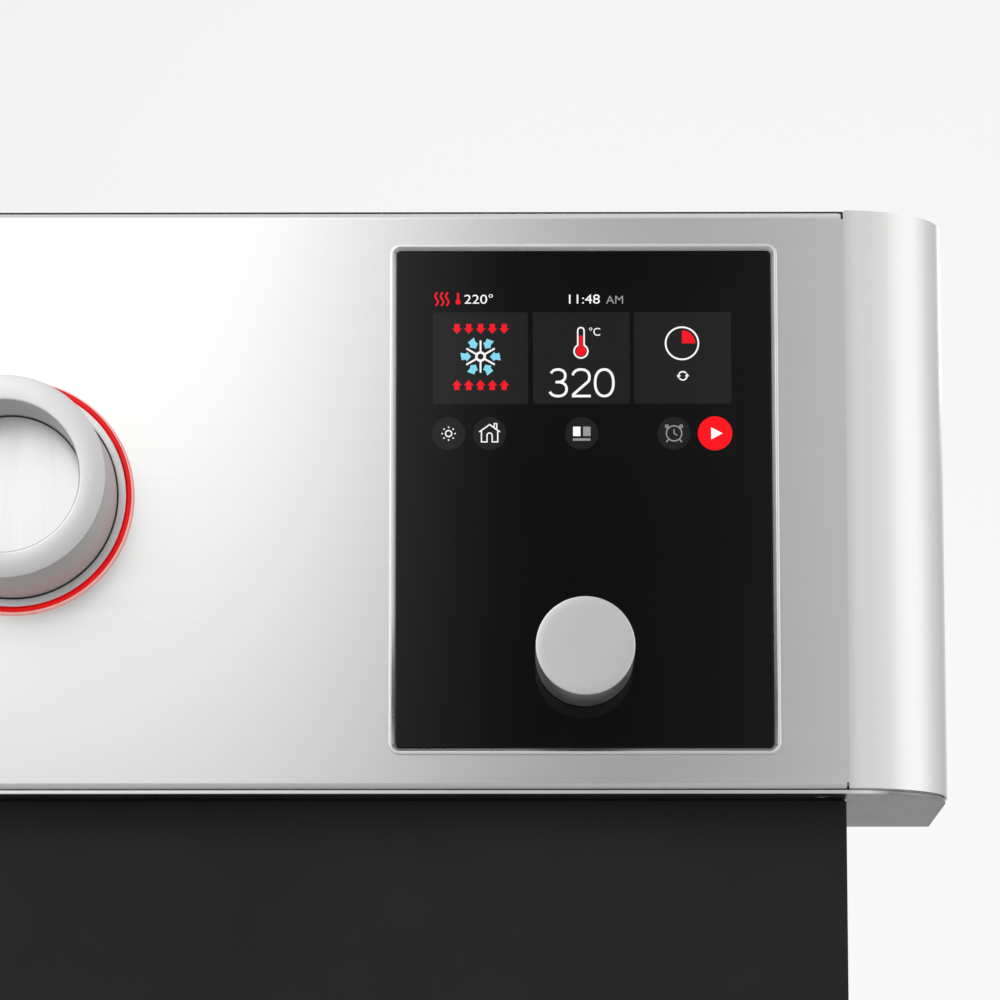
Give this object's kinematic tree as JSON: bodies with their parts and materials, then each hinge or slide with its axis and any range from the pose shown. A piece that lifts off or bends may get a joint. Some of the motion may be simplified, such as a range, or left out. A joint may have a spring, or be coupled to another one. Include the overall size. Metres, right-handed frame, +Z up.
{
  "type": "range cooker control panel",
  "caption": "Stainless fascia of a range cooker with rounded ends, a black glass touch display with a push-and-turn selector, and a lit gas control with a ring-shaped knob.",
  "frame": {"origin": "middle of the base plate's front strip, on its underside, half way along the panel", "axes": "+X along the panel to the user's right, +Y into the cooker, +Z up; the fascia's face looks along -Y"},
  "size_m": [0.4, 0.141, 0.1812],
  "materials": {
    "brushed_steel": "fine brushed stainless sheet",
    "polished_steel": "polished stainless",
    "zinc_steel": "zinc plated, dull",
    "black_glass": "black printed glass, glossy and opaque",
    "screen": "dark screen, glossy",
    "satin_aluminium": "satin",
    "cast_aluminium": "as cast",
    "black_plastic": "moulded, matt",
    "white_plastic": "moulded, matt",
    "circuit_board": "green solder mask",
    "chip": "moulded resin",
    "red_light": "translucent red light guide, lit",
    "brass": "turned",
    "black_rubber": "matt"
  },
  "bodies": {
    "panel": {"base_plate": "brushed_steel", "hob_seal": "black_rubber", "fascia_panel": "brushed_steel", "right_end_bracket": "zinc_steel", "left_end_bracket": "zinc_steel", "left_bracket_lower_screw": "zinc_steel", "left_bracket_upper_screw": "zinc_steel", "right_bracket_lower_screw": "zinc_steel", "right_bracket_upper_screw": "zinc_steel", "display_rim": "polished_steel", "front_glass": "black_glass", "glass_seal": "black_rubber", "touch_sensor": "screen", "lcd_panel": "screen", "backlight_tray": "zinc_steel", "module_carrier": "black_plastic", "main_board": "circuit_board", "processor_chip": "chip", "memory_chip": "chip", "buzzer": "black_plastic", "supply_socket": "white_plastic", "data_socket": "white_plastic", "lcd_ribbon": "white_plastic", "rear_cover": "black_plastic", "right_clamp": "zinc_steel", "left_clamp": "zinc_steel", "lower_left_cover_screw": "zinc_steel", "lower_right_cover_screw": "zinc_steel", "upper_left_cover_screw": "zinc_steel", "upper_right_cover_screw": "zinc_steel", "left_clamp_screw": "zinc_steel", "right_clamp_screw": "zinc_steel", "encoder_body": "zinc_steel", "encoder_nut": "zinc_steel", "push_switch_dome": "zinc_steel", "light_ring": "red_light", "light_board": "circuit_board", "light_socket": "white_plastic", "burner_cup": "satin_aluminium", "tap_body": "cast_aluminium", "tap_plate": "zinc_steel", "ignition_switch": "black_plastic", "outlet_nut": "brass", "inlet_seal": "black_rubber", "left_tap_screw": "zinc_steel", "right_tap_screw": "zinc_steel", "left_stud_nut": "zinc_steel", "right_stud_nut": "zinc_steel"},
    "selector_rotor": {"encoder_rotor": "black_plastic"},
    "selector": {"encoder_shaft": "satin_aluminium", "selector_knob": "satin_aluminium", "selector_insert": "black_plastic"},
    "tap_core": {"tap_plug": "brass", "tap_spring": "zinc_steel"},
    "burner_control": {"tap_stem": "zinc_steel", "burner_knob": "satin_aluminium", "burner_knob_disc": "brushed_steel", "burner_knob_hub": "black_plastic"}
  },
  "joints": [
    {"name": "selector_turn", "type": "hinge", "parent": "panel", "child": "selector_rotor", "pos_m": [0.0875, 0, 0.0415], "axis": [0, 1, 0], "continuous": true},
    {"name": "selector_push", "type": "slide", "parent": "selector_rotor", "child": "selector", "axis": [0, 1, 0], "range_m": [0, 0.001], "stiffness_N_per_m": 2000, "springref_m": -0.001},
    {"name": "burner_turn", "type": "hinge", "parent": "panel", "child": "tap_core", "pos_m": [-0.087, 0, 0.0912], "axis": [0, -1, 0], "range_deg": [0, 210]},
    {"name": "burner_push", "type": "slide", "parent": "tap_core", "child": "burner_control", "axis": [0, 1, 0], "range_m": [0, 0.0035], "stiffness_N_per_m": 1500, "springref_m": -0.004, "deforming": ["tap_spring"]}
  ]
}
